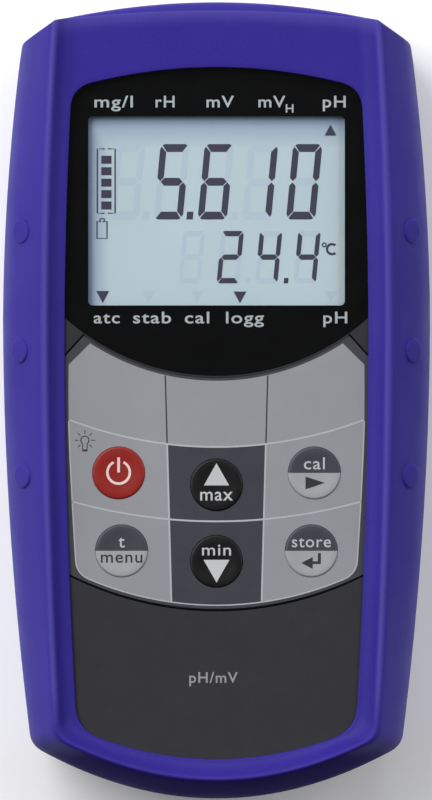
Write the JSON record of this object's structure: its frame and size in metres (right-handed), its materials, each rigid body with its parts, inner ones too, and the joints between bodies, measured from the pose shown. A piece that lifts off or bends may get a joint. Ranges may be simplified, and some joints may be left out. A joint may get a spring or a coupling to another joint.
{
  "type": "ph meter",
  "caption": "Handheld pH meter in a ribbed soft boot, with a tall display window, round keys, a sheltered socket bay, a fold-out clip and a battery door.",
  "frame": {"origin": "under the middle of the overall box, on the surface that the boot's back rests on", "axes": "+X to the meter's right seen from the front, +Y towards the socket end, +Z out of the front face"},
  "size_m": [0.086, 0.1599, 0.037],
  "materials": {
    "boot": "satin silicone, fine specks",
    "housing": "fine spark-eroded texture",
    "seal": "smooth",
    "window": "clear, gloss",
    "mask": "printed black",
    "foil": "fine matt overlay film",
    "key_red": "satin",
    "key_black": "satin",
    "key_slate": "satin",
    "film": "clear film",
    "spring_steel": "bright",
    "lcd": "reflective display glass",
    "inner_plastic": "moulded",
    "diffuser": "light-guide",
    "zebra": "layered strip",
    "circuit_board": "solder-resist green",
    "chip": "moulded epoxy",
    "screw": "zinc plated",
    "panel": "fine texture",
    "nickel": "nickel plated",
    "insulator": "turned insulator",
    "gold": "gold flashed",
    "collar_red": "gloss",
    "collar_black": "gloss",
    "brass": "turned",
    "cell": "printed sleeve, no text",
    "clip": "fine texture",
    "pin": "drawn",
    "plate": "satin, blank",
    "legend_light": "printed light grey",
    "legend_dark": "printed dark grey",
    "legend_white": "printed white",
    "segment": "display segment",
    "ghost": "unlit display segment",
    "foil_light": "printed light grey",
    "foil_dark": "printed slate"
  },
  "bodies": {
    "meter": {"boot": "boot", "front_shell": "housing", "rear_shell": "housing", "shell_gasket": "seal", "display_window": "window", "window_mask": "mask", "keypad_foil": "foil", "dome_sheet": "film", "snap_domes": "spring_steel", "lcd_glass": "lcd", "lcd_frame": "inner_plastic", "backlight_panel": "diffuser", "zebra_strips": "zebra", "main_pcb": "circuit_board", "pcb_chips": "chip", "pcb_screws": "screw", "buzzer": "inner_plastic", "end_panel": "panel", "bnc_barrel": "nickel", "bnc_insulator": "insulator", "bnc_contact": "gold", "bnc_nut": "nickel", "banana_collar_a": "collar_red", "banana_collar_b": "collar_black", "banana_sleeve_a": "brass", "banana_sleeve_b": "brass", "banana_nuts": "nickel", "jack_bushing": "nickel", "jack_body": "inner_plastic", "cell_left": "cell", "cell_right": "cell", "cell_contacts": "spring_steel", "housing_screws": "screw", "clip_pin": "pin", "rating_plate": "plate"},
    "clip": {"clip": "clip"},
    "battery_door": {"battery_door": "housing", "door_gasket": "seal", "door_screws": "screw"},
    "key_power": {"key_power": "key_red"},
    "key_up": {"key_up": "key_black"},
    "key_cal": {"key_cal": "key_slate"},
    "key_menu": {"key_menu": "key_slate"},
    "key_down": {"key_down": "key_black"},
    "key_store": {"key_store": "key_slate"}
  },
  "joints": [
    {"name": "key_power_press", "type": "slide", "parent": "meter", "child": "key_power", "axis": [0, 0, -1], "range_m": [0, 0.0005], "stiffness_N_per_m": 1500, "springref_m": -0.0007},
    {"name": "key_up_press", "type": "slide", "parent": "meter", "child": "key_up", "axis": [0, 0, -1], "range_m": [0, 0.0005], "stiffness_N_per_m": 1500, "springref_m": -0.0007},
    {"name": "key_cal_press", "type": "slide", "parent": "meter", "child": "key_cal", "axis": [0, 0, -1], "range_m": [0, 0.0005], "stiffness_N_per_m": 1500, "springref_m": -0.0007},
    {"name": "key_menu_press", "type": "slide", "parent": "meter", "child": "key_menu", "axis": [0, 0, -1], "range_m": [0, 0.0005], "stiffness_N_per_m": 1500, "springref_m": -0.0007},
    {"name": "key_down_press", "type": "slide", "parent": "meter", "child": "key_down", "axis": [0, 0, -1], "range_m": [0, 0.0005], "stiffness_N_per_m": 1500, "springref_m": -0.0007},
    {"name": "key_store_press", "type": "slide", "parent": "meter", "child": "key_store", "axis": [0, 0, -1], "range_m": [0, 0.0005], "stiffness_N_per_m": 1500, "springref_m": -0.0007},
    {"name": "clip_hinge", "type": "hinge", "parent": "meter", "child": "clip", "pos_m": [0, 0.056, 0.0038], "axis": [1, 0, 0], "range_deg": [0, 180]},
    {"name": "battery_door_lift", "type": "slide", "parent": "meter", "child": "battery_door", "axis": [0, 0, -1], "range_m": [0, 0.03]}
  ]
}
